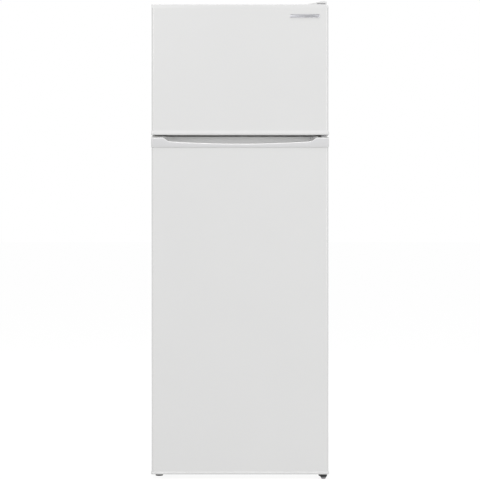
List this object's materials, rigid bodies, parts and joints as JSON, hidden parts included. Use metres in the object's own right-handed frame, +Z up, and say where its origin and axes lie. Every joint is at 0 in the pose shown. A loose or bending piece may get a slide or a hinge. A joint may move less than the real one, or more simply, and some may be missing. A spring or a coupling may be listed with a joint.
{
  "type": "top freezer refrigerator",
  "caption": "Upright household refrigerator with a freezer compartment above, right-hinged doors, recessed grip on the lower door, bins, shelves, crisper and rear condenser.",
  "frame": {"origin": "on the floor, under the middle of the appliance's box", "axes": "+Z up, -Y out of the doors, +X to the right seen from the front, which is the hinge side"},
  "size_m": [0.5504, 0.57, 1.481],
  "materials": {
    "door_paint": "white semi-gloss enamel",
    "cabinet_paint": "white satin enamel",
    "cap_plastic": "moulded white, satin",
    "liner_plastic": "vacuum-formed white",
    "clear_plastic": "clear moulded",
    "lamp_plastic": "frosted",
    "shelf_glass": "tempered, polished",
    "insulation": "foamed in place",
    "seal_rubber": "soft matte",
    "grommet_rubber": "matte",
    "zinc_steel": "zinc plated",
    "black_enamel": "satin black",
    "copper": "drawn copper tube",
    "black_plastic": "moulded",
    "silver_trim": "satin silver",
    "evaporator_aluminium": "roll-bonded sheet"
  },
  "bodies": {
    "root": {"cabinet_shell": "cabinet_paint", "back_panel": "cabinet_paint", "base_pan": "zinc_steel", "insulation_foam": "insulation", "freezer_liner": "liner_plastic", "fridge_liner": "liner_plastic", "mullion_cover": "cabinet_paint", "evaporator_plate": "evaporator_aluminium", "top_hinge_bracket": "zinc_steel", "top_hinge_cover": "cap_plastic", "middle_hinge_bracket": "zinc_steel", "bottom_hinge_bracket": "zinc_steel", "compressor_tray": "zinc_steel", "compressor": "black_enamel", "compressor_grommet_1": "grommet_rubber", "compressor_grommet_2": "grommet_rubber", "compressor_grommet_3": "grommet_rubber", "compressor_grommet_4": "grommet_rubber", "start_relay_cover": "black_plastic", "drip_tray": "liner_plastic", "filter_drier": "copper", "condenser_coil": "black_enamel", "condenser_wires": "black_enamel", "condenser_rail_top": "black_enamel", "condenser_rail_bottom": "black_enamel", "discharge_tube": "copper", "suction_tube": "copper", "cord_gland": "black_plastic", "control_housing": "liner_plastic", "lamp_cover": "lamp_plastic", "lamp_bulb": "shelf_glass", "crisper_cover": "shelf_glass", "shelf_lower": "shelf_glass", "shelf_middle": "shelf_glass", "shelf_upper": "shelf_glass", "freezer_shelf": "liner_plastic"},
    "freezer_door": {"freezer_door_skin": "door_paint", "freezer_door_foam": "insulation", "freezer_door_liner": "liner_plastic", "freezer_door_top_cap": "cap_plastic", "freezer_door_bottom_cap": "cap_plastic", "freezer_door_gasket": "seal_rubber", "freezer_bin": "clear_plastic", "door_badge": "silver_trim"},
    "fridge_door": {"fridge_door_skin": "door_paint", "fridge_door_foam": "insulation", "fridge_door_liner": "liner_plastic", "fridge_door_top_cap": "cap_plastic", "fridge_door_bottom_cap": "cap_plastic", "fridge_door_gasket": "seal_rubber", "bottle_bin": "clear_plastic", "middle_bin": "clear_plastic", "upper_bin": "clear_plastic"},
    "crisper_drawer": {"crisper_drawer": "clear_plastic"},
    "thermostat_knob": {"thermostat_knob": "liner_plastic"},
    "light_switch_plunger": {"light_switch_plunger": "liner_plastic"},
    "levelling_foot_left": {"levelling_foot_left": "black_plastic"},
    "levelling_foot_right": {"levelling_foot_right": "black_plastic"},
    "rear_roller_left": {"rear_roller_left": "black_plastic"},
    "rear_roller_right": {"rear_roller_right": "black_plastic"}
  },
  "joints": [
    {"name": "freezer_door_hinge", "type": "hinge", "parent": "root", "child": "freezer_door", "pos_m": [0.259, -0.26, 1.066], "axis": [0, 0, 1], "range_deg": [0, 125]},
    {"name": "fridge_door_hinge", "type": "hinge", "parent": "root", "child": "fridge_door", "pos_m": [0.259, -0.26, 0.016], "axis": [0, 0, 1], "range_deg": [0, 125]},
    {"name": "crisper_slide", "type": "slide", "parent": "root", "child": "crisper_drawer", "axis": [0, -1, 0], "range_m": [0, 0.175]},
    {"name": "plunger_slide", "type": "slide", "parent": "root", "child": "light_switch_plunger", "axis": [0, -1, 0], "range_m": [0, 0.0061]},
    {"name": "thermostat_turn", "type": "hinge", "parent": "root", "child": "thermostat_knob", "pos_m": [-0.03, -0.0753, 0.993], "axis": [0, -1, 0], "range_deg": [0, 300]},
    {"name": "foot_left_turn", "type": "hinge", "parent": "root", "child": "levelling_foot_left", "pos_m": [-0.254, -0.186, 0], "axis": [0, 0, 1], "continuous": true},
    {"name": "foot_right_turn", "type": "hinge", "parent": "root", "child": "levelling_foot_right", "pos_m": [0.259, -0.26, 0], "axis": [0, 0, 1], "continuous": true},
    {"name": "roller_left_roll", "type": "hinge", "parent": "root", "child": "rear_roller_left", "pos_m": [-0.205, 0.225, 0.011], "axis": [1, 0, 0], "continuous": true},
    {"name": "roller_right_roll", "type": "hinge", "parent": "root", "child": "rear_roller_right", "pos_m": [0.205, 0.225, 0.011], "axis": [1, 0, 0], "continuous": true}
  ],
  "couplings": [
    {"joint": "crisper_slide", "follows": "fridge_door_hinge", "m_per_rad": 0.08},
    {"joint": "plunger_slide", "follows": "fridge_door_hinge", "m_per_rad": 0.00275}
  ]
}
